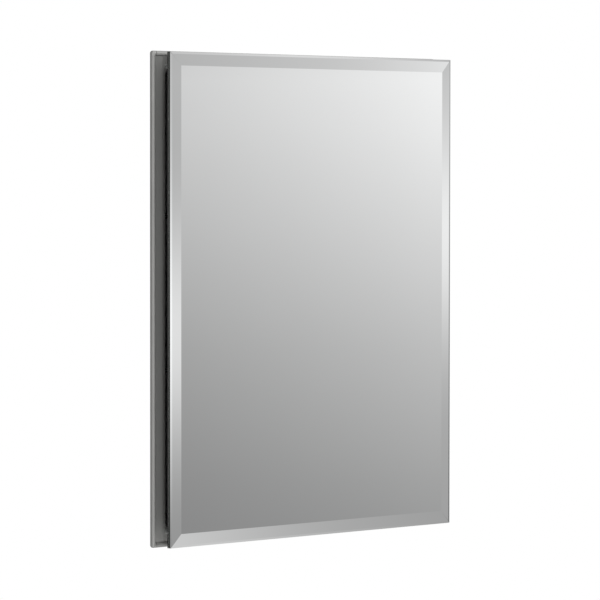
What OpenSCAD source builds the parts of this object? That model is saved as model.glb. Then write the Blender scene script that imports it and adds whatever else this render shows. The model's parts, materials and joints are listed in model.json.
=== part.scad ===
// Recessed medicine cabinet with a bevelled mirror door.
// Origin: centre of the back panel's rear face. +X right, +Y into the wall, +Z up.

/* [Cabinet] */
// Width between the inner faces of the trim
opening_w = 371; // [300:1:600]
// Height between the inner faces of the trim
opening_h = 473; // [400:1:760]
// Depth behind the wall's face
recess_d = 92; // [85:1:120]
// Thickness of the side, top and bottom panels
panel_t = 2; // [1.5:0.1:3]
// Thickness of the back panel
back_t = 1.2; // [0.8:0.1:2]

/* [Trim] */
// Width of the trim's face
trim_w = 19; // [17:0.5:24]
// Thickness of the trim's flat face
trim_t = 1.7; // [1.2:0.1:2.5]
// Width of the raised bead along the outer edge
bead_w = 5; // [4:0.1:6]
// How far the bead's top stands off the wall
bead_t = 4.4; // [3.4:0.1:4.8]
// Outer corner radius of the trim
trim_corner_r = 3; // [2:0.5:6]
// Radius of the fillet in the opening's corners
opening_corner_r = 6; // [4:0.5:6]

/* [Door] */
// How far the mirror stops short of the trim's outer edge
door_inset = 1.5; // [1:0.1:3]
// Distance from the wall to the face of the mirror
door_front = 31; // [30:0.1:33]
// Thickness of the mirror glass
glass_t = 4; // [3:0.1:5]
// Width of the bevel, edge facet included
bevel_w = 14; // [8:0.5:30]
// How far the bevel falls towards the edge
bevel_drop = 0.8; // [0.4:0.1:1.4]
// Width of the narrow facet along the edge
edge_w = 2.2; // [1:0.1:4]
// How far that facet falls
edge_drop = 0.5; // [0.2:0.1:1]
// Thickness of the mounting tape
tape_t = 0.6; // [0.4:0.1:1.5]
// Thickness of the backing sheet
backing_t = 1.2; // [1:0.1:2]
// Depth of the door's frame
frame_d = 14; // [12:0.5:15]
// Width of the frame's members
frame_w = 21; // [18:0.5:26]
// How far the frame laps over the trim, above and below
frame_lap = 6.5; // [6:0.5:8]
// Wall of the frame's hollow section
frame_wall = 1.5; // [1.2:0.1:2]
// Thickness of the inner mirror
inner_mirror_t = 3; // [2:0.5:4]

/* [Hinges] */
// How far the pivot lies outside the opening
pivot_out = 10.5; // [10.3:0.1:11]
// How far the pivot lies in front of the trim's face
pivot_front = 16.3; // [16:0.1:16.6]
// Radius of the hinge pin
pin_r = 2.5; // [2:0.1:3]
// Radial running clearance of the pin
pin_fit = 0.05; // [0.02:0.01:0.1]

/* [Shelves] */
// Thickness of the glass shelves
shelf_t = 5; // [4:0.5:8]
// Depth of the glass shelves
shelf_d = 72; // [60:1:72]
// Distance between rows of pin holes
pin_pitch = 32; // [32:1:36]
// Height of each shelf's pins above the middle, as rows of holes
shelf_row = 2.5; // [1.5:1:3.5]

/* [Hidden] */

$fn = 48;
eps = 0.01;
fit = 0.1;                                   // room around a fixed fastener
gap = 0.3;                                   // room between the closed door and its bumpers
open_x = opening_w / 2;
open_z = opening_h / 2;
leg_t = 1.5;                                 // the trim's return leg inside the opening
leg_d = 12;
groove_w = 0.6;                              // groove at the foot of the trim's bead
groove_d = 0.5;
seat_d = 0.4;                                // rebate in the trim's back over the panels' edges
in_x = open_x + leg_t;                       // inner faces of the panels
in_z = open_z + leg_t;
out_x = in_x + panel_t;
out_z = in_z + panel_t;
wall_y = -recess_d;                          // the wall's face
trim_y = wall_y - trim_t;                    // the trim's face
trim_x = open_x + trim_w;
trim_z = open_z + trim_w;
lip_w = 10;                                  // rear lip that holds the back panel
lip_t = 1.5;
lip_y = -back_t - lip_t;
port_w = 7;                                  // square screw ports inside top and bottom
port_y = [-12, -42];
port_r = 1.85;
rivet_r = 1.6;
rivet_head_r = 3;
rivet_head_t = 0.9;
screw_r = 1.8;
screw_head_r = 3.4;
screw_head_t = 1.8;
cross_l = 3.2;                               // cross recess in a screw's head
cross_w = 0.8;
cross_d = 1;
wall_hole_r = 3;                             // holes for screws into the wall
wall_hole_x = open_x - 45.5;
wall_hole_z = open_z - 46.5;
stud_hole_r = 2.5;                           // holes for screws into the studs
stud_hole_y = [-28, -58];
stud_hole_z = open_z - 31.5;
pin_y = [-16, -68];                          // columns of shelf pin holes
pin_rows = 2 * floor((in_z - 50) / pin_pitch);
shelf_pin_r = 2.5;
peg_r = 3;
peg_l = 9;
collar_r = 4.2;
collar_t = 1.5;
shelf_gap = 0.8;                             // room at each end of a shelf
shelf_x = open_x - shelf_gap;
shelf_back_y = -5;
shelf_edge_r = 1;
door_x = trim_x - door_inset;
door_z = trim_z - door_inset;
front_y = wall_y - door_front;               // face of the mirror
tape_y = front_y + glass_t;
backing_y = tape_y + tape_t;
frame_y = backing_y + backing_t;
frame_back_y = frame_y + frame_d;
tape_w = 12;
tape_in = 3;                                 // tape's setback from the mirror's edge
groove_x = trim_w - bead_w - groove_w;
frame_x = open_x;                            // outer faces of the door's frame
frame_z = open_z + frame_lap;
rabbet = 4;                                  // seat for the inner mirror
rabbet_d = 4;
inner_gap = 0.4;
key_l = 38;                                  // reach of each arm of a corner key
key_t = 3;                                   // half of its thickness
key_w = frame_w - rabbet - 2 * frame_wall - 2 * inner_gap;
pivot_x = open_x + pivot_out;
pivot_y = trim_y - pivot_front;
knuckle_r = 4.5;
arm_out = 2.5;                               // reach of the leaf's arm beyond the pivot
leaf_t = 2.5;
leaf_pad_l = 29;                             // pad that meets the top or bottom panel
leaf_in_x = 24;                              // reach of the leaf into the opening
leaf_z = open_z;                             // outer face of the leaf's front part
crank_y = [2.2, 7];                          // the crank's span in front of the trim
pin_head_t = 1.2;
pin_head_r = pin_r + 1.2;
pin_tail = 1;                                // how far the pin stands beyond the leaf
washer_t = 1.5;
washer_r = 4.2;
tab_t = 2.5;
flange_t = 2;
flange_h = 34;
leaf_screw_x = open_x - leaf_in_x + 8;
base_l = 28;                                 // screwed-down base of the catch
base_t = 4;
base_y = wall_y + leg_d + 0.5;
foot_w = 12;                                 // each foot of the base beside the nose
leaf_screw_y = [base_y + 23.5, base_y + 7.5];
bracket_screw_z = [12, 26];                  // below the bracket's tab
catch_x = 58 - open_x;
catch_w = 30;
catch_h = 11;
magnet_w = 20;
magnet_h = 7;
magnet_d = 8;                                // depth of the magnet's pocket
strike_t = 1.2;
strike_w = 36;
strike_h = 8;
strike_screw_x = 14;
bumper_r = 2.8;
bumper_x = 2.3 - open_x;                     // bumpers on the trim, near its corners
bumper_z = open_z + 3.3;

bracket_z = leaf_z - leaf_t - washer_t;      // outer face of the bracket's tab
bracket_mid_y = (frame_y + frame_back_y) / 2;
rivet_y = wall_y + leg_d / 2;
base_screw_y = base_y + base_l / 2;
foot_x = catch_w / 2 + foot_w / 2;
catch_nose_y = frame_back_y + strike_t + screw_head_t + 2 * gap;
strike_z = open_z - catch_h / 2 - 1;
nose_z0 = 1 - open_z;                        // underside of the nose, clear of the trim
nose_z1 = catch_h / 2 - strike_z;
face_y = frame_back_y + strike_t + gap;      // front of the magnet

// ---------------------------------------------------------------- helpers

// Cylinder along an axis through the point p, from 0 to l
module rod_x(p, r, l) { translate(p) rotate([0, 90, 0]) cylinder(r = r, h = l); }
module rod_y(p, r, l) { translate(p) rotate([-90, 0, 0]) cylinder(r = r, h = l); }
module rod_z(p, r, l) { translate(p) cylinder(r = r, h = l); }

// Box between two corners
module box(lo, hi) { translate(lo) cube(hi - lo); }

// Points along an arc around c, from angle a0 to a1
function arc(c, r, a0, a1, n = 6) = [for (i = [0 : n])
  let (a = a0 + (a1 - a0) * i / n) c + r * [cos(a), sin(a)]];

// Upright bar of a mitred frame with half sizes hx and hz, from u0 to u1 outside that line
module bar(hx, hz, u0, u1, y0, y1) {
  plate_y(y0, y1) polygon([[hx + u0, hz + u0], [hx + u1, hz + u1], [hx + u1, -hz - u1], [hx + u0, -hz - u0]]);
}

// Plate normal to Y between y0 and y1 from a flat outline in X and Z
module plate_y(y0, y1) {
  translate([0, y1, 0]) rotate([90, 0, 0]) linear_extrude(height = y1 - y0) children();
}

// Plate normal to Z between z0 and z1
module plate_z(z0, z1) { translate([0, 0, z0]) linear_extrude(height = z1 - z0) children(); }

// ---------------------------------------------------------------- tub

module shelf_holes() {
  for (y = pin_y, i = [0 : pin_rows - 1])
    rod_x([in_x - 1, y, (i - (pin_rows - 1) / 2) * pin_pitch], shelf_pin_r + pin_fit, panel_t + 2);
}

module side_panel() {
  difference() {
    union() {
      box([in_x, wall_y, -out_z], [out_x, -back_t, out_z]);
      box([in_x - lip_w, lip_y, -in_z], [in_x + eps, -back_t, in_z]);
    }
    shelf_holes();
    for (y = stud_hole_y, z = [-1, 1]) rod_x([in_x - 1, y, z * stud_hole_z], stud_hole_r, panel_t + 2);
    for (y = port_y, z = [-1, 1])
      rod_x([in_x - 1, y, z * (in_z - port_w / 2)], screw_r + fit, panel_t + 2);
    for (z = rivet_heights()) rod_x([in_x - 1, rivet_y, z], rivet_r, panel_t + 2);
    for (p = back_rivet_places()) rod_y([p[0], lip_y - 1, p[1]], rivet_r, lip_t + 2);
  }
}

module right_side_panel() { color("gainsboro") side_panel(); }
module left_side_panel() { color("gainsboro") mirror([1, 0, 0]) side_panel(); }

module end_panel() {
  difference() {
    union() {
      box([-in_x, wall_y, in_z], [in_x, -back_t, out_z]);
      box([-in_x + lip_w, lip_y, in_z - lip_w], [in_x - lip_w, -back_t, in_z + eps]);
      for (y = port_y) box([-in_x, y - port_w / 2, in_z - port_w], [in_x, y + port_w / 2, in_z + eps]);
    }
    for (y = port_y) rod_x([-in_x - 1, y, in_z - port_w / 2], port_r, 2 * in_x + 2);
    for (x = rivet_widths()) rod_z([x, rivet_y, in_z - 1], rivet_r, panel_t + 2);
    for (p = back_rivet_places()) rod_y([p[0], lip_y - 1, p[1]], rivet_r, lip_t + 2);
    for (y = leaf_screw_y) rod_z([leaf_screw_x, y, in_z - 1], screw_r + fit, panel_t + 2);
    for (x = [-1, 1]) rod_z([catch_x + x * foot_x, base_screw_y, in_z - 1], screw_r + fit, panel_t + 2);
  }
}

module top_panel() { color("gainsboro") end_panel(); }
module bottom_panel() { color("gainsboro") mirror([0, 0, 1]) end_panel(); }

module back_panel() {
  color("silver") difference() {
    box([-out_x, -back_t, -out_z], [out_x, 0, out_z]);
    for (x = [-1, 1], z = [-1, 1])
      rod_y([x * wall_hole_x, -back_t - 1, z * wall_hole_z], wall_hole_r, back_t + 2);
    for (p = back_rivet_places()) rod_y([p[0], -back_t - 1, p[1]], rivet_r, back_t + 2);
  }
}

function rivet_heights() = [for (i = [-1.5 : 1 : 1.5]) i * open_z / 2];
function rivet_widths() = [for (i = [-1 : 1]) i * open_x / 2];
function back_rivet_places() = concat(
  [for (x = [-1, 1], z = [-1.5 : 1 : 1.5]) [x * (in_x - lip_w / 2), z * open_z / 2]],
  [for (x = [-1, 1], z = [-1, 1]) [x * open_x / 2, z * (in_z - lip_w / 2)]]);

// Rivet along +Z: shank up to l, head below zero
module rivet(l) {
  cylinder(r = rivet_r - pin_fit, h = l);
  translate([0, 0, -rivet_head_t]) cylinder(r1 = rivet_head_r * 0.7, r2 = rivet_head_r, h = rivet_head_t);
}

module trim_rivets() {
  color("silver") {
    for (x = [-1, 1], z = rivet_heights())
      translate([x * open_x, rivet_y, z]) rotate([0, x * 90, 0]) rivet(leg_t + panel_t);
    for (z = [-1, 1], x = rivet_widths())
      translate([x, rivet_y, z * open_z]) rotate([z > 0 ? 0 : 180, 0, 0]) rivet(leg_t + panel_t);
  }
}

module back_rivets() {
  color("silver") for (p = back_rivet_places())
    translate([p[0], lip_y, p[1]]) rotate([-90, 0, 0]) rivet(lip_t + back_t);
}

// Screw along -Z: head above zero, shank down to l, with a cross recess
module screw(l) {
  difference() {
    union() {
      translate([0, 0, -l]) cylinder(r = screw_r, h = l);
      cylinder(r1 = screw_head_r, r2 = screw_head_r * 0.75, h = screw_head_t);
    }
    for (a = [0, 90]) rotate(a) translate([0, 0, screw_head_t])
      cube([cross_l, cross_w, 2 * cross_d], center = true);
  }
}

module panel_screws() {
  color("dimgray") for (x = [-1, 1], y = port_y, z = [-1, 1])
    translate([x * out_x, y, z * (in_z - port_w / 2)]) rotate([0, x * 90, 0]) screw(12);
}

// ---------------------------------------------------------------- trim

// Face of an upright member, mitred, with its share of the opening's fillets and the outer corners
module trim_face(hx, hz) {
  inner = opening_corner_r;
  outer = trim_corner_r;
  cx = hx + trim_w - outer;
  cz = hz + trim_w - outer;
  polygon(concat(
    arc([hx - inner, inner - hz], inner, -45, 0), arc([hx - inner, hz - inner], inner, 0, 45),
    arc([cx, cz], outer, 45, 0), arc([cx, -cz], outer, 0, -45)));
}

// Raised bead with a half-round top, along an upright member
module bead(hx, hz) {
  r = bead_w / 2;
  x1 = hx + trim_w;
  translate([0, wall_y, 0]) mirror([0, 1, 0]) linear_extrude(height = 2 * (hz + trim_w), center = true)
    polygon(concat([[x1 - bead_w, 0], [x1, 0]], arc([x1 - r, bead_t - r], r, 0, 180, 12)));
}

module trim_member(hx, hz, rivets) {
  difference() {
    union() {
      plate_y(trim_y, wall_y) trim_face(hx, hz);
      intersection() {
        bead(hx, hz);
        plate_y(wall_y - bead_t - 1, wall_y + 1) trim_face(hx, hz);
      }
      bar(hx, hz, 0, leg_t, wall_y - seat_d - eps, wall_y + leg_d);
    }
    bar(hx, hz, leg_t, leg_t + panel_t + gap, wall_y - seat_d, wall_y + 1);
    bar(hx, hz, groove_x, groove_x + groove_w, trim_y - 1, trim_y + groove_d);
    for (z = rivets) rod_x([hx - 1, rivet_y, z], rivet_r, leg_t + 2);
  }
}

module trim_upright() { color("lightgray") trim_member(open_x, open_z, rivet_heights()); }

// Top or bottom member: its bead stops at the grooves of the uprights
module trim_rail() {
  color("lightgray") rotate([0, -90, 0]) difference() {
    trim_member(open_z, open_x, rivet_widths());
    for (s = [-1, 1])
      box([open_z + groove_x, wall_y - bead_t - 1, s * (open_x + groove_x + groove_w / 2) - groove_w / 2],
          [open_z + trim_w + 1, trim_y + groove_d, s * (open_x + groove_x + groove_w / 2) + groove_w / 2]);
  }
}

module trim_right() { trim_upright(); }
module trim_top() { trim_rail(); }
module trim_left() { mirror([1, 0, 0]) trim_upright(); }
module trim_bottom() { mirror([0, 0, 1]) trim_rail(); }

// ---------------------------------------------------------------- shelves

function shelf_pin_z(s) = s * shelf_row * pin_pitch;

module shelf(s) {
  color("paleturquoise", 0.6) difference() {
    box([-shelf_x, shelf_back_y - shelf_d, shelf_pin_z(s) + peg_r],
        [shelf_x, shelf_back_y, shelf_pin_z(s) + peg_r + shelf_t]);
    for (z = [0, 1]) translate([0, shelf_back_y - shelf_d, shelf_pin_z(s) + peg_r + z * shelf_t])
      rotate([45, 0, 0]) cube([2 * open_x, shelf_edge_r, shelf_edge_r], center = true);
  }
}

module shelf_pins(s) {
  color("silver") for (x = [-1, 1], y = pin_y)
    translate([x * in_x, y, shelf_pin_z(s)]) rotate([0, x * 90, 0]) {
      cylinder(r = shelf_pin_r, h = panel_t + 1);
      translate([0, 0, -collar_t]) cylinder(r = collar_r, h = collar_t);
      translate([0, 0, -peg_l]) cylinder(r = peg_r, h = peg_l);
    }
}

module shelf_upper() { shelf(1); }
module shelf_lower() { shelf(-1); }
module shelf_pins_upper() { shelf_pins(1); }
module shelf_pins_lower() { shelf_pins(-1); }

// ---------------------------------------------------------------- door

// Glass cut by one bevel plane and one narrow facet on each side
module mirror_front() {
  color("lightsteelblue") difference() {
    box([-door_x, front_y, -door_z], [door_x, tape_y, door_z]);
    for (s = [-1, 1]) {
      edge_cut(s, door_x, door_z);
      rotate([0, 90, 0]) edge_cut(s, door_z, door_x);
    }
  }
}

module edge_cut(s, h, l) {
  linear_extrude(height = 2 * l + 4, center = true)
    polygon([[s * (h - bevel_w), front_y], [s * (h - edge_w), front_y + bevel_drop],
             [s * h, front_y + bevel_drop + edge_drop], [s * (h + 5), front_y + bevel_drop + edge_drop],
             [s * (h + 5), front_y - 5], [s * (h - bevel_w), front_y - 5]]);
}

module mirror_tape() {
  tx = door_x - tape_in;
  tz = door_z - tape_in;
  color("black") {
    for (s = [-1, 1]) {
      box([min(s * tx, s * (tx - tape_w)), tape_y, -tz], [max(s * tx, s * (tx - tape_w)), backing_y, tz]);
      box([-tx + 2 * tape_w, tape_y, min(s * tz, s * (tz - tape_w))],
          [tx - 2 * tape_w, backing_y, max(s * tz, s * (tz - tape_w))]);
    }
  }
}

module door_backing() {
  color("dimgray") box([-door_x, backing_y, -door_z], [door_x, frame_y, door_z]);
}

// Hollow upright member with a seat for the inner mirror, mitred at both ends
module frame_member(hx, hz) {
  difference() {
    bar(hx, hz, -frame_w, 0, frame_y, frame_back_y);
    bar(hx, hz + 2, rabbet + frame_wall - frame_w, -frame_wall, frame_y + frame_wall,
        frame_back_y - frame_wall);
    bar(hx, hz + 2, -frame_w - 1, rabbet - frame_w, frame_back_y - rabbet_d, frame_back_y + 1);
  }
}

module frame_upright() {
  difference() {
    frame_member(frame_x, frame_z);
    for (s = [-1, 1], z = bracket_screw_z)
      rod_x([frame_x - frame_wall - 1, bracket_mid_y, s * (bracket_z - z)], screw_r + fit, frame_wall + 2);
  }
}

module frame_rail() { rotate([0, -90, 0]) frame_member(frame_z, frame_x); }

module door_frame_right() { color("silver") frame_upright(); }
module door_frame_left() { color("silver") mirror([1, 0, 0]) frame_member(frame_x, frame_z); }
module door_frame_top() { color("silver") frame_rail(); }

module door_frame_bottom() {
  color("silver") difference() {
    mirror([0, 0, 1]) frame_rail();
    for (x = [-1, 1])
      rod_y([catch_x + x * strike_screw_x, frame_back_y - frame_wall - 1, -strike_z], screw_r + fit,
            frame_wall + 2);
  }
}

// Corner keys inside the hollow members
module door_frame_keys() {
  kx = frame_x - frame_wall - inner_gap;
  kz = frame_z - frame_wall - inner_gap;
  ky = (frame_y + frame_back_y) / 2;
  color("gray") difference() {
    for (x = [-1, 1], z = [-1, 1]) {
      span_box(x, kx - key_l, kx, z, kz - key_w, kz, ky);
      span_box(x, kx - key_w, kx, z, kz - key_l, kz, ky);
    }
    for (s = [-1, 1], z = bracket_screw_z)
      rod_x([kx - key_w - 1, bracket_mid_y, s * (bracket_z - z)], screw_r + fit, key_w + 2);
  }
}

// Bar of a corner key, on the side given by the signs sx and sz
module span_box(sx, x0, x1, sz, z0, z1, y) {
  translate([sx * (x0 + x1) / 2, y, sz * (z0 + z1) / 2]) cube([x1 - x0, 2 * key_t, z1 - z0], center = true);
}

module mirror_inner() {
  mx = frame_x - frame_w + rabbet - inner_gap;
  mz = frame_z - frame_w + rabbet - inner_gap;
  color("lightsteelblue")
    box([-mx, frame_back_y - rabbet_d, -mz], [mx, frame_back_y - rabbet_d + inner_mirror_t, mz]);
}

// ---------------------------------------------------------------- hinges

// Cranked leaf under the top panel
module hinge_leaf() {
  lx0 = open_x - leaf_in_x;
  lx1 = open_x - opening_corner_r - 0.5;
  y0 = trim_y - crank_y[0];
  y1 = trim_y - crank_y[1];
  difference() {
    union() {
      plate_z(leaf_z - leaf_t, leaf_z) difference() {
        union() {
          translate([lx0, y1]) square([lx1 - lx0, base_y + leaf_pad_l - y1]);
          translate([lx0, y1]) square([pivot_x + arm_out - lx0, y0 - y1]);
          translate([pivot_x - knuckle_r, pivot_y]) square([knuckle_r + arm_out, y0 - pivot_y]);
          translate([pivot_x, pivot_y]) circle(r = knuckle_r);
        }
        translate([pivot_x, pivot_y]) circle(r = pin_r + pin_fit);
      }
      box([lx0, base_y, leaf_z - leaf_t], [lx1, base_y + leaf_pad_l, in_z]);
    }
    for (y = leaf_screw_y) rod_z([leaf_screw_x, y, leaf_z - leaf_t - 1], screw_r + fit, leaf_t + leg_t + 2);
  }
}

module hinge_leaf_upper() { color("silver") hinge_leaf(); }
module hinge_leaf_lower() { color("silver") mirror([0, 0, 1]) hinge_leaf(); }

// Angle bracket on the frame's outer side, with a tab that carries the pin
module hinge_bracket() {
  difference() {
    union() {
      plate_z(bracket_z - tab_t, bracket_z) difference() {
        union() {
          translate([pivot_x, pivot_y]) circle(r = knuckle_r);
          translate([frame_x, pivot_y - knuckle_r]) square([pivot_x - frame_x, 2 * knuckle_r]);
        }
        translate([pivot_x, pivot_y]) circle(r = pin_r);
      }
      box([frame_x, frame_y + 1, bracket_z - flange_h], [frame_x + flange_t, frame_back_y - 1, bracket_z]);
    }
    for (z = bracket_screw_z) rod_x([frame_x - 1, bracket_mid_y, bracket_z - z], screw_r + fit, flange_t + 2);
  }
}

module hinge_bracket_upper() { color("silver") hinge_bracket(); }
module hinge_bracket_lower() { color("silver") mirror([0, 0, 1]) hinge_bracket(); }

// Pin pressed into the bracket and free in the leaf
module hinge_pin() {
  rod_z([pivot_x, pivot_y, bracket_z - tab_t], pin_r, leaf_z - bracket_z + tab_t + pin_tail);
  rod_z([pivot_x, pivot_y, bracket_z - tab_t - pin_head_t], pin_head_r, pin_head_t);
}

module hinge_pin_upper() { color("gray") hinge_pin(); }
module hinge_pin_lower() { color("gray") mirror([0, 0, 1]) hinge_pin(); }

module hinge_washer() {
  difference() {
    rod_z([pivot_x, pivot_y, bracket_z], washer_r, washer_t - gap / 2);
    rod_z([pivot_x, pivot_y, bracket_z - 1], pin_r + pin_fit, washer_t + 2);
  }
}

module hinge_washer_upper() { color("white") hinge_washer(); }
module hinge_washer_lower() { color("white") mirror([0, 0, 1]) hinge_washer(); }

module hinge_leaf_screws() {
  color("dimgray") for (z = [-1, 1], y = leaf_screw_y)
    translate([leaf_screw_x, y, z * (leaf_z - leaf_t)]) rotate([z > 0 ? 180 : 0, 0, 0])
      screw(leaf_t + leg_t + panel_t + 1.5);
}

module hinge_bracket_screws() {
  color("dimgray") for (s = [-1, 1], z = bracket_screw_z)
    translate([frame_x + flange_t, bracket_mid_y, s * (bracket_z - z)]) rotate([0, 90, 0])
      screw(flange_t + 6);
}

// ---------------------------------------------------------------- catch and bumpers

// Two feet and a nose with the magnet's pocket
module catch_body() {
  foot_x1 = catch_w / 2 + foot_w;
  color("white") difference() {
    union() {
      box([catch_x - foot_x1, base_y, -in_z], [catch_x + foot_x1, base_y + base_l, -in_z + base_t]);
      box([catch_x - catch_w / 2, catch_nose_y, nose_z0], [catch_x + catch_w / 2, base_y + base_l, nose_z1]);
    }
    box([catch_x - magnet_w / 2 - fit, catch_nose_y - 1, -strike_z - magnet_h / 2 - fit],
        [catch_x + magnet_w / 2 + fit, catch_nose_y + magnet_d, -strike_z + magnet_h / 2 + fit]);
    for (x = [-1, 1]) rod_z([catch_x + x * foot_x, base_screw_y, -in_z - 1], screw_r + fit, base_t + 2);
  }
}

module catch_magnet() {
  color("dimgray") box([catch_x - magnet_w / 2, face_y, -strike_z - magnet_h / 2],
                       [catch_x + magnet_w / 2, catch_nose_y + magnet_d - fit, -strike_z + magnet_h / 2]);
}

module catch_screws() {
  color("dimgray") for (x = [-1, 1]) translate([catch_x + x * foot_x, base_screw_y, -in_z + base_t])
    screw(base_t + panel_t + 1.5);
}

module strike_plate() {
  color("silver") difference() {
    box([catch_x - strike_w / 2, frame_back_y, -strike_z - strike_h / 2],
        [catch_x + strike_w / 2, frame_back_y + strike_t, -strike_z + strike_h / 2]);
    for (x = [-1, 1])
      rod_y([catch_x + x * strike_screw_x, frame_back_y - 1, -strike_z], screw_r + fit, strike_t + 2);
  }
}

module strike_screws() {
  color("dimgray") for (x = [-1, 1])
    translate([catch_x + x * strike_screw_x, frame_back_y + strike_t, -strike_z]) rotate([-90, 0, 0])
      screw(strike_t + 5);
}

// Clear bumpers that the door's frame comes to rest against
module corner_bumpers() {
  color("whitesmoke") for (z = [-1, 1])
    rod_y([bumper_x, frame_back_y + gap, z * bumper_z], bumper_r, trim_y - frame_back_y - gap);
}

// ---------------------------------------------------------------- output

left_side_panel();
right_side_panel();
top_panel();
bottom_panel();
back_panel();
trim_left();
trim_right();
trim_top();
trim_bottom();
trim_rivets();
back_rivets();
panel_screws();
shelf_upper();
shelf_lower();
shelf_pins_upper();
shelf_pins_lower();
mirror_front();
mirror_tape();
door_backing();
door_frame_left();
door_frame_right();
door_frame_top();
door_frame_bottom();
door_frame_keys();
mirror_inner();
hinge_leaf_upper();
hinge_leaf_lower();
hinge_bracket_upper();
hinge_bracket_lower();
hinge_pin_upper();
hinge_pin_lower();
hinge_washer_upper();
hinge_washer_lower();
hinge_leaf_screws();
hinge_bracket_screws();
catch_body();
catch_magnet();
catch_screws();
strike_plate();
strike_screws();
corner_bumpers();
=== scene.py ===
"""Recessed medicine cabinet with a bevelled mirror door: materials, detailed pieces, light and camera."""
import json
import math

import bmesh
import bpy
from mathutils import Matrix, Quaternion, Vector

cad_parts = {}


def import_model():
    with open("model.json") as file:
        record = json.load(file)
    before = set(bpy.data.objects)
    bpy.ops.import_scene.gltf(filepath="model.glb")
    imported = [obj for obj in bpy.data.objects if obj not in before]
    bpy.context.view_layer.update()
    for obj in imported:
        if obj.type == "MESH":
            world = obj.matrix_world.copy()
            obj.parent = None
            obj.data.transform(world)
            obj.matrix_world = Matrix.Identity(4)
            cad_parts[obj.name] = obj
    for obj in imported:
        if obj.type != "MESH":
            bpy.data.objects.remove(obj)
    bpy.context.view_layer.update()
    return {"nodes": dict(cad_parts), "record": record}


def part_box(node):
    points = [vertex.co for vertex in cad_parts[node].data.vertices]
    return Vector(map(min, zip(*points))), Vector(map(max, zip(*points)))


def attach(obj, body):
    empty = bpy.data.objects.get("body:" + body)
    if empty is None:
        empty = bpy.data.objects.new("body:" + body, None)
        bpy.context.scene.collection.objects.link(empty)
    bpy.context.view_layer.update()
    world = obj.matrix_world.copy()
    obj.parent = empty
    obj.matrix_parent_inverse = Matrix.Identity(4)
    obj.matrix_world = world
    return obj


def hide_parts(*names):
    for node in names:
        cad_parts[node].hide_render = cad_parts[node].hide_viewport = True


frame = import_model()

MM = 0.001
BODY_OF = {n: b for b, nodes in frame["record"]["behaviour"]["bodies"].items() for n in nodes}

# ------------------------------------------------------------------ sizes

BEVEL_W = 14 * MM            # bevel around the mirror, edge facet included
BEVEL_DROP = 0.8 * MM        # how far the bevel falls towards the edge
FACET_W = 2.2 * MM           # narrow facet along the mirror's edge
FACET_DROP = 0.5 * MM
CORNER_NIP = 0.5 * MM        # dubbed corners of the glass
BACK_EDGE = 0.3 * MM         # broken edge around the mirror's back
INNER_CHAMFER = 0.8 * MM     # ground edge of the mirror inside the door
SHELF_ROUND = 2.2 * MM       # pencil-ground shelf edges
HEAD_R = 3.4 * MM            # screw heads
HEAD_T = 1.8 * MM
SHANK_R = 1.8 * MM
PITCH = 0.7 * MM             # screw threads
RECESS_W = 0.75 * MM         # cross recess in the screw heads
RECESS_D = 1.1 * MM
WELD = 0.002 * MM            # points of a CAD mesh closer than this are one
SQUARE = ((-1, -1), (1, -1), (1, 1), (-1, 1))


# ------------------------------------------------------------------ mesh helpers

def piece(name, mesh_from, node, materials, smooth=30):
    """Makes an object out of a bmesh, which stands for a CAD node and rides on its body."""
    mesh = bpy.data.meshes.new(name)
    mesh_from.to_mesh(mesh)
    mesh_from.free()
    obj = bpy.data.objects.new(name, mesh)
    bpy.context.scene.collection.objects.link(obj)
    for m in materials:
        mesh.materials.append(m)
    mesh.shade_smooth()
    mesh.set_sharp_from_angle(angle=math.radians(smooth))
    weighted = obj.modifiers.new("even_normals", "WEIGHTED_NORMAL")
    weighted.keep_sharp = True
    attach(obj, BODY_OF[node])
    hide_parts(node)
    return obj


def cad_copy(node):
    """A bmesh copy of a CAD node, welded, with its flat faces joined again."""
    bm = bmesh.new()
    bm.from_mesh(frame["nodes"][node].data)
    bmesh.ops.remove_doubles(bm, verts=bm.verts, dist=WELD)
    bmesh.ops.dissolve_limit(bm, angle_limit=math.radians(0.3), verts=bm.verts, edges=bm.edges)
    return bm


def soften(bm, width, segments=2, min_angle=40):
    """Rounds the hard edges of a bmesh by a small radius."""
    sharp = [e for e in bm.edges if len(e.link_faces) == 2
             and e.calc_face_angle(0) > math.radians(min_angle)
             and e.calc_length() > 2.2 * width]
    bmesh.ops.bevel(bm, geom=sharp, offset=width, offset_type="OFFSET", segments=segments,
                    profile=0.5, affect="EDGES", clamp_overlap=True)


def softened(node, material, width=0.25 * MM, smooth=30):
    """The CAD node's shape with its hard edges broken, as the real piece has them."""
    bm = cad_copy(node)
    soften(bm, width)
    piece(node + "_fine", bm, node, [material], smooth)


def islands(node):
    """Box of each separate solid of a CAD node, as pairs of corners."""
    bm = bmesh.new()
    bm.from_mesh(frame["nodes"][node].data)
    bmesh.ops.remove_doubles(bm, verts=bm.verts, dist=WELD)
    seen = set()
    found = []
    for start in bm.verts:
        if start in seen:
            continue
        seen.add(start)
        stack, group = [start], []
        while stack:
            v = stack.pop()
            group.append(v.co.copy())
            for e in v.link_edges:
                w = e.other_vert(v)
                if w not in seen:
                    seen.add(w)
                    stack.append(w)
        lo = Vector([min(c[i] for c in group) for i in range(3)])
        hi = Vector([max(c[i] for c in group) for i in range(3)])
        found.append((lo, hi))
    bm.free()
    return found


def frame_along(axis):
    """Two unit vectors across an axis, right-handed with it."""
    side = Vector((0, 0, 1)) if abs(axis.z) < 0.9 else Vector((1, 0, 0))
    u = axis.cross(side).normalized()
    return u, axis.cross(u)


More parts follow.
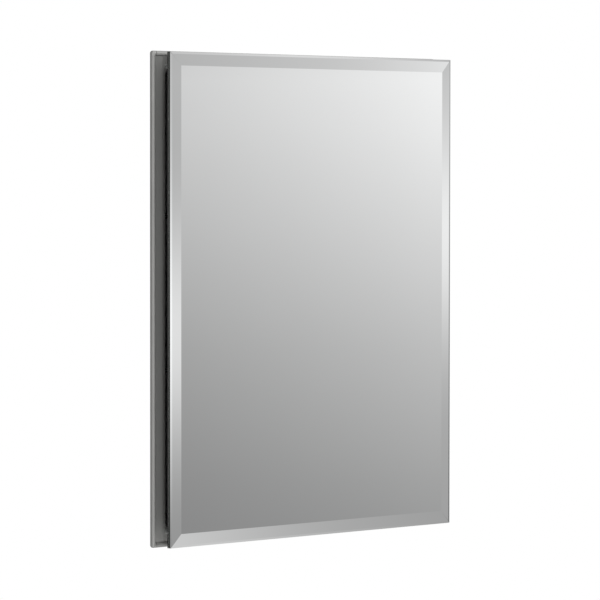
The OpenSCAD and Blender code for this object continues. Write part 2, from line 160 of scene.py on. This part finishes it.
def lathe(bm, base, axis, profile, steps=28):
    """Adds a closed body of revolution: profile is a list of (radius, height) along the axis."""
    u, v = frame_along(axis)
    rings = []
    for r, h in profile:
        centre = base + axis * h
        if r < 1e-7:
            rings.append([bm.verts.new(centre)])
            continue
        angles = [2 * math.pi * i / steps for i in range(steps)]
        rings.append([bm.verts.new(centre + (u * math.cos(a) + v * math.sin(a)) * r) for a in angles])
    for a, b in zip(rings, rings[1:]):
        for i in range(steps):
            j = (i + 1) % steps
            corners = [a[i % len(a)], a[j % len(a)], b[j % len(b)], b[i % len(b)]]
            unique = list(dict.fromkeys(corners))
            if len(unique) > 2:
                bm.faces.new(unique)


def dome(r, h, n=7):
    """Profile of a low dome from its rim to its middle."""
    return [(r * math.cos(math.pi / 2 * i / n), h * math.sin(math.pi / 2 * i / n)) for i in range(n + 1)]


def corner(r, h, soft, angles):
    """Profile points on a rounded corner whose arc of radius soft ends at radius r and height h."""
    return [(r - soft + soft * math.cos(a), h - soft + soft * math.sin(a)) for a in angles]


def turned(node, bm, material):
    """Makes a piece out of bodies that lathe() added."""
    bmesh.ops.recalc_face_normals(bm, faces=bm.faces)
    return piece(node + "_fine", bm, node, [material], smooth=35)


def cut(obj, cutters):
    """Subtracts the cutters' bmesh from an object and applies the result."""
    mesh = bpy.data.meshes.new("cutter")
    cutters.to_mesh(mesh)
    cutters.free()
    tool = bpy.data.objects.new("cutter", mesh)
    bpy.context.scene.collection.objects.link(tool)
    mod = obj.modifiers.new("recess", "BOOLEAN")
    mod.operation = "DIFFERENCE"
    mod.solver = "EXACT"
    mod.object = tool
    deps = bpy.context.evaluated_depsgraph_get()
    result = bpy.data.meshes.new_from_object(obj.evaluated_get(deps))
    if not result.polygons:
        raise RuntimeError(obj.name + " is empty after its recesses are cut")
    obj.modifiers.clear()
    obj.data = result
    bpy.data.objects.remove(tool)


def add_box(bm, centre, size):
    """Adds a closed box."""
    verts = {}
    for i in (-1, 1):
        for j in (-1, 1):
            for k in (-1, 1):
                off = Vector((i * size[0], j * size[1], k * size[2]))
                verts[i, j, k] = bm.verts.new(centre + off / 2)
    for axis in range(3):
        for s in (-1, 1):
            ring = []
            for p, q in SQUARE:
                key = [p, q]
                key.insert(axis, s)
                ring.append(verts[tuple(key)])
            bm.faces.new(ring)


def add_cross(bm, centre, axis, reach, width, depth):
    """Adds a plus-shaped prism along an axis, as one closed solid."""
    u, v = frame_along(axis)
    half = width / 2
    outline = []
    for a, b in ((u, v), (v, -u), (-u, -v), (-v, u)):
        outline += [a * reach - b * half, a * reach + b * half, (a + b) * half]
    ends = [[bm.verts.new(centre + p + axis * h) for p in outline] for h in (-depth / 2, depth / 2)]
    for ring in ends:
        bm.faces.new(ring)
    for i in range(len(outline)):
        j = (i + 1) % len(outline)
        bm.faces.new([ends[0][i], ends[0][j], ends[1][j], ends[1][i]])


# ------------------------------------------------------------------ materials

class Shader:
    """A node material with one Principled shader and a few ways to vary it over the surface."""

    def __init__(self, name, color, metallic=0.0, roughness=0.5, **inputs):
        self.mat = bpy.data.materials.new(name)
        self.mat.use_nodes = True
        self.tree = self.mat.node_tree
        self.tree.nodes.clear()
        self.bsdf = self.node("ShaderNodeBsdfPrincipled")
        out = self.node("ShaderNodeOutputMaterial")
        self.link(self.bsdf.outputs["BSDF"], out.inputs["Surface"])
        self.bsdf.inputs["Base Color"].default_value = (*color, 1)
        self.bsdf.inputs["Metallic"].default_value = metallic
        self.bsdf.inputs["Roughness"].default_value = roughness
        for key, value in inputs.items():
            self.bsdf.inputs[key.replace("_", " ")].default_value = value
        self.color = color
        self.roughness = roughness
        self.coords = self.node("ShaderNodeTexCoord").outputs["Object"]

    def node(self, kind, **settings):
        made = self.tree.nodes.new(kind)
        for key, value in settings.items():
            setattr(made, key, value)
        return made

    def link(self, a, b):
        self.tree.links.new(a, b)

    def noise(self, scale, stretch=(1, 1, 1), detail=4.0):
        """Noise with so many features in a metre, stretched along an axis by a small factor there."""
        mapping = self.node("ShaderNodeMapping")
        mapping.inputs["Scale"].default_value = stretch
        self.link(self.coords, mapping.inputs["Vector"])
        tex = self.node("ShaderNodeTexNoise")
        tex.inputs["Scale"].default_value = scale
        tex.inputs["Detail"].default_value = detail
        self.link(mapping.outputs["Vector"], tex.inputs["Vector"])
        return tex.outputs["Fac"]

    def ranged(self, value, low, high):
        """Spreads a noise, which is mostly between 0.3 and 0.7, from low to high."""
        part = self.node("ShaderNodeMapRange")
        part.inputs["From Min"].default_value = 0.3
        part.inputs["From Max"].default_value = 0.7
        part.inputs["To Min"].default_value = low
        part.inputs["To Max"].default_value = high
        self.link(value, part.inputs["Value"])
        return part.outputs["Result"]

    def vary_color(self, value, darker):
        """Mixes the base colour towards a darker copy of itself."""
        mix = self.node("ShaderNodeMix", data_type="RGBA")
        mix.inputs["A"].default_value = (*[c * darker for c in self.color], 1)
        mix.inputs["B"].default_value = (*self.color, 1)
        self.link(self.ranged(value, 0, 1), mix.inputs["Factor"])
        self.link(mix.outputs["Result"], self.bsdf.inputs["Base Color"])
        return self

    def vary_roughness(self, value, spread):
        low, high = self.roughness * (1 - spread), self.roughness * (1 + spread)
        self.link(self.ranged(value, low, high), self.bsdf.inputs["Roughness"])
        return self

    def bump(self, value, height):
        part = self.node("ShaderNodeBump")
        part.inputs["Distance"].default_value = height
        part.inputs["Strength"].default_value = 1.0
        self.link(value, part.inputs["Height"])
        self.link(part.outputs["Normal"], self.bsdf.inputs["Normal"])
        return self


def brushed(name, color, roughness, along, grain=1400.0, height=0.012 * MM, darker=0.93, metallic=1.0):
    """Metal with fine lines along one axis, as extruding or brushing leaves them."""
    stretch = [1.0, 1.0, 1.0]
    stretch[along] = 0.012
    m = Shader(name, color, metallic=metallic, roughness=roughness)
    lines = m.noise(grain, stretch, 3.0)
    blotch = m.noise(18.0, (1, 1, 1), 3.0)
    return m.vary_color(blotch, darker).vary_roughness(lines, 0.16).bump(lines, height).mat


def plated(name, color, roughness):
    """Plated or bright steel with a faint mottle."""
    m = Shader(name, color, metallic=1.0, roughness=roughness)
    mottle = m.noise(420.0)
    return m.vary_color(m.noise(90.0), 0.9).vary_roughness(mottle, 0.25).bump(mottle, 0.004 * MM).mat


def moulded(name, color, roughness, grain=900.0, height=0.01 * MM, **inputs):
    """Moulded plastic or rubber with a fine spark-eroded grain."""
    m = Shader(name, color, roughness=roughness, **inputs)
    grit = m.noise(grain)
    return m.vary_color(m.noise(40.0), 0.95).vary_roughness(grit, 0.12).bump(grit, height).mat


def mirror_silver(name, color):
    """Silvered glass: almost perfectly sharp, with a trace of haze."""
    m = Shader(name, color, metallic=1.0, roughness=0.02)
    haze = m.noise(9.0, detail=5.0)
    return m.vary_color(haze, 0.992).vary_roughness(haze, 0.35).mat


def polished_edge(name, color):
    """The cut and polished edge of float glass, seen as a dark green-grey line; the colour given is kept
    darker than the glass alone as painted shade on the door's side.
    """
    m = Shader(name, color, roughness=0.25, IOR=1.3)
    grind = m.noise(1500.0, (1, 1, 1), 2.0)
    return m.vary_color(m.noise(60.0), 0.8).vary_roughness(grind, 0.3).bump(grind, 0.004 * MM).mat


def back_paint(name, color):
    """Grey paint over the silver on a mirror's back."""
    m = Shader(name, color, roughness=0.55)
    peel = m.noise(320.0)
    return m.vary_color(m.noise(25.0), 0.85).vary_roughness(peel, 0.15).bump(peel, 0.02 * MM).mat


def clear_glass(name, tint):
    """Tempered glass with a faint green tint."""
    m = Shader(name, tint, roughness=0.02, Transmission_Weight=1.0, IOR=1.52)
    wave = m.noise(12.0)
    return m.vary_color(wave, 0.97).vary_roughness(wave, 0.3).mat


X, Z = 0, 2
SILVER = mirror_silver("mirror_silver", (0.88, 0.885, 0.885))
# Partly painted shade: the glass edge's own dark green-grey, darkened further to paint in the shade on the
# door's side
GLASS_EDGE_AND_SHADE = polished_edge("glass_edge_and_painted_shade", (0.075, 0.083, 0.077))
MIRROR_PAINT = back_paint("mirror_paint", (0.20, 0.21, 0.22))
BACKING = back_paint("backing_paint", (0.40, 0.40, 0.39))
# Painted shade: near-black on the backing's edge faces, standing in for the shade on the door's side
PAINTED_SHADE_BACKING_EDGE = back_paint("backing_edge_painted_shade", (0.04, 0.04, 0.04))
TRIM_V = brushed("trim_upright", (0.46, 0.462, 0.45), 0.4, Z, metallic=0.4)
TRIM_H = brushed("trim_rail", (0.46, 0.462, 0.45), 0.4, X, metallic=0.4)
TUB_V = brushed("tub_upright", (0.62, 0.625, 0.63), 0.38, Z)
TUB_H = brushed("tub_rail", (0.62, 0.625, 0.63), 0.38, X)
DOOR_V = brushed("door_upright", (0.60, 0.605, 0.61), 0.3, Z)
DOOR_H = brushed("door_rail", (0.60, 0.605, 0.61), 0.3, X)
NICKEL = plated("nickel", (0.62, 0.61, 0.60), 0.22)
ZINC = plated("zinc", (0.56, 0.57, 0.58), 0.3)
BRIGHT = plated("bright_steel", (0.66, 0.66, 0.67), 0.18)
RIVET = plated("rivet_aluminium", (0.68, 0.68, 0.69), 0.33)
CAST = plated("cast_aluminium", (0.42, 0.42, 0.43), 0.5)
WHITE = moulded("white_plastic", (0.80, 0.80, 0.78), 0.42)
NYLON = moulded("nylon", (0.82, 0.82, 0.78), 0.38, Subsurface_Weight=0.1)
FERRITE = moulded("ferrite", (0.035, 0.035, 0.038), 0.6, grain=1600.0, height=0.03 * MM)
FOAM = moulded("foam_tape", (0.012, 0.012, 0.012), 0.9, grain=2500.0, height=0.08 * MM)
BUMPER = moulded("clear_rubber", (0.70, 0.72, 0.71), 0.3, Transmission_Weight=0.5, IOR=1.45)
SHELF = clear_glass("shelf_glass", (0.90, 0.97, 0.94))


# ------------------------------------------------------------------ door

def rect_ring(bm, hx, hz, y, nip=0.0):
    """Eight points around a rectangle with its corners nipped."""
    pts = []
    for sx, sz, first_x in ((1, 1, False), (-1, 1, True), (-1, -1, False), (1, -1, True)):
        a, b = Vector((sx * hx, y, sz * (hz - nip))), Vector((sx * (hx - nip), y, sz * hz))
        pts += [b, a] if first_x else [a, b]
    return [bm.verts.new(p) for p in pts]


def mirror_door():
    """The front mirror: silvered face and bevel, bright edge facet, polished side whose dark colour is
    partly painted shade, and grey-painted back.
    """
    lo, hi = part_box("mirror_front")
    hx, hz = hi.x, hi.z
    bm = bmesh.new()
    levels = [
        (hx - BEVEL_W, hz - BEVEL_W, lo.y, 0.0),
        (hx - FACET_W, hz - FACET_W, lo.y + BEVEL_DROP, CORNER_NIP * 0.6),
        (hx, hz, lo.y + BEVEL_DROP + FACET_DROP, CORNER_NIP),
        (hx, hz, hi.y - BACK_EDGE, CORNER_NIP),
        (hx - BACK_EDGE, hz - BACK_EDGE, hi.y, CORNER_NIP),
    ]
    inner = [bm.verts.new((sx * levels[0][0], lo.y, sz * levels[0][1]))
             for sx, sz in ((1, 1), (-1, 1), (-1, -1), (1, -1))]
    rings = [rect_ring(bm, *level) for level in levels[1:]]
    front = bm.faces.new(inner)
    front.material_index = 0
    for i in range(4):
        a, b = rings[0][2 * i], rings[0][2 * i + 1]
        nxt = rings[0][(2 * i + 2) % 8]
        bm.faces.new([inner[i], a, b])
        bm.faces.new([inner[i], b, nxt, inner[(i + 1) % 4]])
    for level, (r0, r1) in enumerate(zip(rings, rings[1:])):
        for i in range(8):
            j = (i + 1) % 8
            f = bm.faces.new([r0[i], r1[i], r1[j], r0[j]])
            f.material_index = (1, 2, 3)[level]
    bm.faces.new(rings[-1]).material_index = 3
    bmesh.ops.recalc_face_normals(bm, faces=bm.faces)
    piece("mirror_glass", bm, "mirror_front", [SILVER, SILVER, GLASS_EDGE_AND_SHADE, MIRROR_PAINT], smooth=1)


def inner_mirror():
    """The mirror inside the door, with a narrow ground chamfer."""
    lo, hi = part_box("mirror_inner")
    bm = bmesh.new()
    rings = [rect_ring(bm, hi.x - INNER_CHAMFER, hi.z - INNER_CHAMFER, hi.y, CORNER_NIP),
             rect_ring(bm, hi.x, hi.z, hi.y - INNER_CHAMFER, CORNER_NIP),
             rect_ring(bm, hi.x, hi.z, lo.y, CORNER_NIP)]
    bm.faces.new(rings[0]).material_index = 0
    for level, (r0, r1) in enumerate(zip(rings, rings[1:])):
        for i in range(8):
            j = (i + 1) % 8
            bm.faces.new([r0[i], r1[i], r1[j], r0[j]]).material_index = level + 1
    bm.faces.new(rings[-1]).material_index = 3
    bmesh.ops.recalc_face_normals(bm, faces=bm.faces)
    piece("inner_mirror_glass", bm, "mirror_inner", [SILVER, SILVER, GLASS_EDGE_AND_SHADE, MIRROR_PAINT], smooth=1)


# ------------------------------------------------------------------ fasteners

def head_end(node, lo, hi, along):
    """Direction from a fastener's tip to its head, found from the CAD solid, and the head's outer end."""
    mid = (lo + hi) / 2
    reach = {1: 0.0, -1: 0.0}
    for v in frame["nodes"][node].data.vertices:
        if all(lo[i] - 1e-6 <= v.co[i] <= hi[i] + 1e-6 for i in range(3)):
            off = v.co - mid
            end = 1 if off[along] > 0 else -1
            off[along] = 0
            reach[end] = max(reach[end], off.length)
    side = 1 if reach[1] > reach[-1] else -1
    axis = Vector((0, 0, 0))
    axis[along] = side
    mid[along] = (hi if side > 0 else lo)[along]
    return axis, mid


def screws(node, material):
    """Pan-head screws with a cross recess, one for each solid of the CAD node."""
    rim, neck = 0.45 * MM, 0.15 * MM
    root_r, neck_r, soft = SHANK_R * 0.82, SHANK_R * 0.9, 0.1 * MM
    bm, recess = bmesh.new(), bmesh.new()
    for lo, hi in islands(node):
        size = hi - lo
        along = list(size).index(max(size))
        axis, top = head_end(node, lo, hi, along)
        tip = HEAD_T - size[along]
        profile = [(0, tip), (SHANK_R * 0.7, tip), (SHANK_R, tip + 0.6 * MM)]
        for i in range(int((-tip - 1.2 * MM) / PITCH)):
            h = tip + PITCH * (i + 1)
            profile += [(root_r, h - 0.1 * MM), (SHANK_R, h + 0.18 * MM)]
        profile += [(neck_r, -neck), (neck_r, 0), (HEAD_R - soft, 0), (HEAD_R, soft)]
        profile += [(r, rim + h) for r, h in dome(HEAD_R, HEAD_T - rim)]
        lathe(bm, top - axis * HEAD_T, axis, profile)
        add_cross(recess, top, axis, HEAD_R * 0.56, RECESS_W, 2 * RECESS_D)
    bmesh.ops.recalc_face_normals(recess, faces=recess.faces)
    cut(turned(node, bm, material), recess)


def rivets(node):
    """Blind rivets: a low dome with the broken mandrel in its middle."""
    head_t, head_r, body_r, rim = 0.9 * MM, 3.0 * MM, 1.55 * MM, 0.12 * MM
    bm = bmesh.new()
    for lo, hi in islands(node):
        size = hi - lo
        along = list(size).index(min(size))
        axis, top = head_end(node, lo, hi, along)
        length = size[along] - head_t
        profile = [(0, -length), (body_r, -length), (body_r, 0), (head_r, 0), (head_r, rim)]
        profile += [(head_r * math.cos(t), rim + (head_t - rim) * math.sin(t)) for t in (0.35, 0.7, 1.0)]
        profile += [(1.0 * MM, head_t * 0.93), (0.95 * MM, head_t * 0.5), (0.8 * MM, head_t * 0.5),
                    (0.75 * MM, head_t * 0.8), (0, head_t * 0.85)]
        lathe(bm, top - axis * head_t, axis, profile, 24)
    turned(node, bm, RIVET)


def shelf_pins(node):
    """Turned pins with a rounded peg, a collar and a plain shank."""
    peg, shank_r, peg_r, collar_r, collar_t = 9 * MM, 2.5 * MM, 3.0 * MM, 4.2 * MM, 1.5 * MM
    soft = 0.35 * MM
    bm = bmesh.new()
    for lo, hi in islands(node):
        side = 1 if (lo.x + hi.x) > 0 else -1
        base = (lo + hi) / 2
        base.x = hi.x if side > 0 else lo.x
        length = hi.x - lo.x
        shank = length - peg
        profile = [(0, 0), (shank_r - soft, 0), (shank_r, soft), (shank_r, shank), (collar_r - soft, shank),
                   (collar_r, shank + soft), (collar_r, shank + collar_t - soft),
                   (collar_r - soft, shank + collar_t), (peg_r, shank + collar_t)]
        profile += corner(peg_r, length, 0.8 * MM, (0, 0.4, 0.8, 1.2, math.pi / 2))
        lathe(bm, base, Vector((-side, 0, 0)), profile + [(0, length)])
    turned(node, bm, BRIGHT)


def shelf(node):
    """A glass shelf with pencil-ground edges all round."""
    lo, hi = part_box(node)
    bm = bmesh.new()
    add_box(bm, (lo + hi) / 2, hi - lo)
    bmesh.ops.recalc_face_normals(bm, faces=bm.faces)
    bmesh.ops.bevel(bm, geom=list(bm.edges), offset=SHELF_ROUND, offset_type="OFFSET", segments=5,
                    profile=0.5, affect="EDGES", clamp_overlap=True)
    piece(node + "_fine", bm, node, [SHELF], smooth=40)


def magnet():
    """A ferrite block between two steel pole plates that stand a little proud."""
    lo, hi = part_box("catch_magnet")
    pole = 1.2 * MM
    proud = 0.5 * MM
    bm = bmesh.new()
    size = hi - lo
    mid = (lo + hi) / 2
    core = Vector((size.x - 0.6 * MM, size.y - proud, size.z - 2 * pole))
    add_box(bm, mid + Vector((0, proud / 2, 0)), core)
    for f in bm.faces:
        f.material_index = 1
    for s in (-1, 1):
        add_box(bm, mid + Vector((0, 0, s * (size.z - pole) / 2)), Vector((size.x, size.y, pole)))
    bmesh.ops.recalc_face_normals(bm, faces=bm.faces)
    soften(bm, 0.15 * MM)
    piece("catch_magnet_fine", bm, "catch_magnet", [ZINC, FERRITE])


def bumpers():
    """Soft clear bumpers with a rounded tip, standing on the trim."""
    foot, soft = 0.8 * MM, 1.2 * MM
    bm = bmesh.new()
    for lo, hi in islands("corner_bumpers"):
        r = (hi.x - lo.x) / 2
        t = hi.y - lo.y
        base = (lo + hi) / 2
        base.y = hi.y
        profile = [(0, 0), (r, 0), (r, foot), (r * 0.9, foot + 0.3 * MM), (r * 0.86, t - soft)]
        profile += corner(r * 0.86, t, soft, (0.4, 0.8, 1.2, math.pi / 2))
        lathe(bm, base, Vector((0, -1, 0)), profile + [(0, t)], 32)
    turned("corner_bumpers", bm, BUMPER)


def backing():
    """The backing sheet: pale painted back, with painted shade as a dark band on its edge faces."""
    bm = cad_copy("door_backing")
    soften(bm, 0.2 * MM)
    bm.normal_update()
    for f in bm.faces:
        # Edge faces get the painted-shade material; faces looking front or back keep the pale paint
        f.material_index = 0 if abs(f.normal.y) > 0.95 else 1
    piece("door_backing_fine", bm, "door_backing", [BACKING, PAINTED_SHADE_BACKING_EDGE])


def hinge_pin(node):
    """A headed pin with a rounded end."""
    lo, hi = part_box(node)
    up = 1 if lo.z > 0 else -1
    base = (lo + hi) / 2
    base.z = lo.z if up > 0 else hi.z
    length = hi.z - lo.z
    head_r = (hi.x - lo.x) / 2
    head_t, r, soft, end = 1.2 * MM, 2.5 * MM, 0.3 * MM, 0.6 * MM
    profile = [(0, 0), (head_r - soft, 0), (head_r, soft), (head_r, head_t), (r, head_t), (r, length - end)]
    profile += corner(r, length, end, (0.5, 1.0, math.pi / 2))
    bm = bmesh.new()
    lathe(bm, base, Vector((0, 0, up)), profile + [(0, length)], 32)
    turned(node, bm, BRIGHT)


mirror_door()
inner_mirror()
softened("mirror_tape", FOAM, 0.1 * MM)
backing()
for side, metal in (("left", DOOR_V), ("right", DOOR_V), ("top", DOOR_H), ("bottom", DOOR_H)):
    softened("door_frame_" + side, metal, 0.2 * MM)
for side, metal in (("left", TRIM_V), ("right", TRIM_V), ("top", TRIM_H), ("bottom", TRIM_H)):
    softened("trim_" + side, metal, 0.2 * MM)
for name, metal in (("left_side_panel", TUB_V), ("right_side_panel", TUB_V), ("top_panel", TUB_H),
                    ("bottom_panel", TUB_H), ("back_panel", TUB_V)):
    softened(name, metal, 0.2 * MM)
softened("door_frame_keys", CAST, 0.3 * MM)
for end in ("upper", "lower"):
    softened("hinge_leaf_" + end, NICKEL, 0.3 * MM)
    softened("hinge_bracket_" + end, NICKEL, 0.3 * MM)
    softened("hinge_washer_" + end, NYLON, 0.2 * MM)
    hinge_pin("hinge_pin_" + end)
    shelf("shelf_" + end)
    shelf_pins("shelf_pins_" + end)
softened("catch_body", WHITE, 0.5 * MM)
softened("strike_plate", NICKEL, 0.25 * MM)
magnet()
bumpers()
for name in ("panel_screws", "hinge_leaf_screws", "hinge_bracket_screws", "catch_screws", "strike_screws"):
    screws(name, ZINC)
rivets("trim_rivets")
rivets("back_rivets")


# ------------------------------------------------------------------ stage

WALL_HALF = 1.6              # reach of the wall from the cabinet's middle
CUT_ROOM = 1.5 * MM          # room between the tub and the wall opening
FLOOR_DROP = 1.3             # floor below the cabinet's middle
FLOOR_HALF = 12.0            # reach of the floor from the cabinet's middle


def wall_material():
    """Plain white seen from the room, and nothing at all from behind."""
    mat = bpy.data.materials.new("wall_white")
    mat.use_nodes = True
    tree = mat.node_tree
    tree.nodes.clear()
    out = tree.nodes.new("ShaderNodeOutputMaterial")
    mix = tree.nodes.new("ShaderNodeMixShader")
    white = tree.nodes.new("ShaderNodeEmission")
    white.inputs["Strength"].default_value = 1.0
    clear = tree.nodes.new("ShaderNodeBsdfTransparent")
    side = tree.nodes.new("ShaderNodeNewGeometry")
    tree.links.new(side.outputs["Backfacing"], mix.inputs["Fac"])
    tree.links.new(white.outputs["Emission"], mix.inputs[1])
    tree.links.new(clear.outputs["BSDF"], mix.inputs[2])
    tree.links.new(mix.outputs["Shader"], out.inputs["Surface"])
    return mat


def stage_sheet(name, bm, material):
    """Makes a flat part of the room, which isn't part of the object and doesn't show in mirrors."""
    mesh = bpy.data.meshes.new(name)
    bm.to_mesh(mesh)
    bm.free()
    mesh.materials.append(material)
    obj = bpy.data.objects.new(name, mesh)
    bpy.context.scene.collection.objects.link(obj)
    obj.visible_glossy = False
    return obj


def wall():
    """The finished wall around the tub, level with the back of the trim. Only the camera sees it."""
    hole_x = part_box("right_side_panel")[1].x + CUT_ROOM
    hole_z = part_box("top_panel")[1].z + CUT_ROOM
    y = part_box("right_side_panel")[0].y
    bm = bmesh.new()
    outer = [bm.verts.new((x * WALL_HALF, y, z * WALL_HALF)) for x, z in SQUARE]
    inner = [bm.verts.new((x * hole_x, y, z * hole_z)) for x, z in SQUARE]
    for i in range(4):
        j = (i + 1) % 4
        bm.faces.new([outer[i], outer[j], inner[j], inner[i]])
    obj = stage_sheet("wall", bm, wall_material())
    obj.visible_diffuse = False
    obj.visible_transmission = False
    obj.visible_shadow = False


def floor():
    """A pale floor under the cabinet, far enough below to stay out of the main view."""
    bm = bmesh.new()
    bm.faces.new([bm.verts.new((x * FLOOR_HALF, y * FLOOR_HALF, -FLOOR_DROP)) for x, y in SQUARE])
    pale = Shader("floor_pale", (0.84, 0.84, 0.83), roughness=0.8)
    stage_sheet("floor", bm, pale.vary_color(pale.noise(1.5), 0.98).mat)


# Brightness of the studio by height above the horizon, in degrees: darkest a little below it
SKY = [(-90, 0.4), (-26, 0.6), (-9, 0.3), (-5.5, 0.32), (-3, 0.49), (1.3, 0.86), (7, 0.6), (22, 0.55),
       (50, 0.8), (90, 0.85)]
# How it changes around the cabinet, from its back over its left, front and right: brightest at the right
TURN = [(-180, 0.5), (-150, 0.25), (-70, 0.25), (-52, 0.7), (-15, 0.7), (36.5, 0.6), (41, 0.82), (46, 1.2),
        (50.5, 0.65), (80, 0.5), (180, 0.5)]
# Soft boxes: direction to the right and up, spread in both, all in degrees, and strength
GLOWS = [
    (47, 12, 1.2, 6, 0.42),         # in the upper bevel
    (40.5, -12, 2.2, 2.5, 0.42),    # in the lower bevel
    (33, -2.6, 2.3, 1.3, 0.48),     # in the left bevel
    (31, -7, 4, 2.8, 0.17),         # in the left bevel's lower half
    (53.5, -1, 2.3, 1.3, 0.5),      # in the right bevel
    (56, -5.5, 3.5, 2.3, 0.27),     # in the right bevel's lower half
    (14, -2.6, 5, 1.7, 0.78),       # in the facet along the left edge
]


def world():
    """Soft studio surroundings, and plain white wherever they are seen directly."""
    w = bpy.data.worlds.new("studio")
    bpy.context.scene.world = w
    w.use_nodes = True
    t = w.node_tree
    t.nodes.clear()

    def node(kind, **settings):
        made = t.nodes.new(kind)
        for key, value in settings.items():
            setattr(made, key, value)
        return made

    def calc(op, *values):
        n = node("ShaderNodeMath", operation=op)
        for socket, v in zip(n.inputs, values):
            if isinstance(v, (int, float)):
                socket.default_value = v
            else:
                t.links.new(v, socket)
        return n.outputs[0]

    def ramp(value, stops):
        """Brightness along the stops. Its colours hold half of it, because they end at 1."""
        low, high = stops[0][0], stops[-1][0]
        r = node("ShaderNodeValToRGB")
        t.links.new(calc("DIVIDE", calc("SUBTRACT", value, low), high - low), r.inputs[0])
        elements = r.color_ramp.elements
        for at, _ in stops[1:-1]:
            elements.new((at - low) / (high - low))
        for element, (_, level) in zip(elements, stops):
            element.color = (level / 2, level / 2, level / 2, 1)
        return calc("MULTIPLY", r.outputs[0], 2.0)

    def glow(centre_az, centre_el, spread_az, spread_el, strength):
        """A soft spot of light that fades away from its centre."""
        across = calc("DIVIDE", calc("SUBTRACT", az, centre_az), spread_az)
        up = calc("DIVIDE", calc("SUBTRACT", el, centre_el), spread_el)
        reach = calc("MULTIPLY", calc("MULTIPLY_ADD", across, across, calc("MULTIPLY", up, up)), -0.5)
        return calc("MULTIPLY", calc("EXPONENT", reach), strength)

    split = node("ShaderNodeSeparateXYZ")
    t.links.new(node("ShaderNodeTexCoord").outputs["Generated"], split.inputs[0])
    x, y, z = split.outputs
    degrees = 180 / math.pi
    el = calc("MULTIPLY", calc("ARCSINE", z), degrees)
    az = calc("MULTIPLY", calc("ARCTAN2", x, calc("MULTIPLY", y, -1.0)), degrees)
    light = calc("MULTIPLY", ramp(el, SKY), ramp(az, TURN))
    for g in GLOWS:
        light = calc("ADD", light, glow(*g))
    back = node("ShaderNodeBackground")
    t.links.new(light, back.inputs["Color"])
    seen = node("ShaderNodeBackground")
    seen.inputs["Color"].default_value = (1, 1, 1, 1)
    mix = node("ShaderNodeMixShader")
    out = node("ShaderNodeOutputWorld")
    t.links.new(node("ShaderNodeLightPath").outputs["Is Camera Ray"], mix.inputs["Fac"])
    t.links.new(back.outputs[0], mix.inputs[1])
    t.links.new(seen.outputs[0], mix.inputs[2])
    t.links.new(mix.outputs[0], out.inputs["Surface"])


def soft_light(name, place, size, power):
    """A square light aimed at the cabinet's middle, which doesn't show in mirrors."""
    data = bpy.data.lights.new(name, "AREA")
    data.size = size
    data.energy = power
    obj = bpy.data.objects.new(name, data)
    obj.location = place
    obj.rotation_mode = "QUATERNION"
    obj.rotation_quaternion = (-Vector(place)).to_track_quat("-Z", "Y")
    obj.visible_glossy = False
    bpy.context.scene.collection.objects.link(obj)


def camera():
    """Long lens, seen from the cabinet's left and a little above its middle."""
    aim_x, aim_z, distance = -0.0230, -0.0036, 3.83
    azimuth, elevation, roll = math.radians(42.97), math.radians(2.05), math.radians(0.06)
    target = Vector((aim_x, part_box("mirror_front")[0].y, aim_z))
    toward = Vector((-math.sin(azimuth) * math.cos(elevation), -math.cos(azimuth) * math.cos(elevation),
                     math.sin(elevation)))
    data = bpy.data.cameras.new("camera")
    data.sensor_width = 36.0
    data.lens = 217.9
    data.clip_start, data.clip_end = 0.1, 60.0
    obj = bpy.data.objects.new("camera", data)
    obj.location = target + toward * distance
    obj.rotation_mode = "QUATERNION"
    obj.rotation_quaternion = (-toward).to_track_quat("-Z", "Y") @ Quaternion((0, 0, 1), roll)
    bpy.context.scene.collection.objects.link(obj)
    bpy.context.scene.camera = obj


wall()
floor()
world()
soft_light("key", (-1.71, -2.63, 0.7), 0.36, 23)
soft_light("front", (-0.2, -3.0, 0.5), 0.5, 64)
soft_light("back", (1.2, 3.0, 1.4), 1.4, 60)
camera()
bpy.context.scene.view_settings.view_transform = "Standard"
bpy.context.scene.view_settings.look = "None"
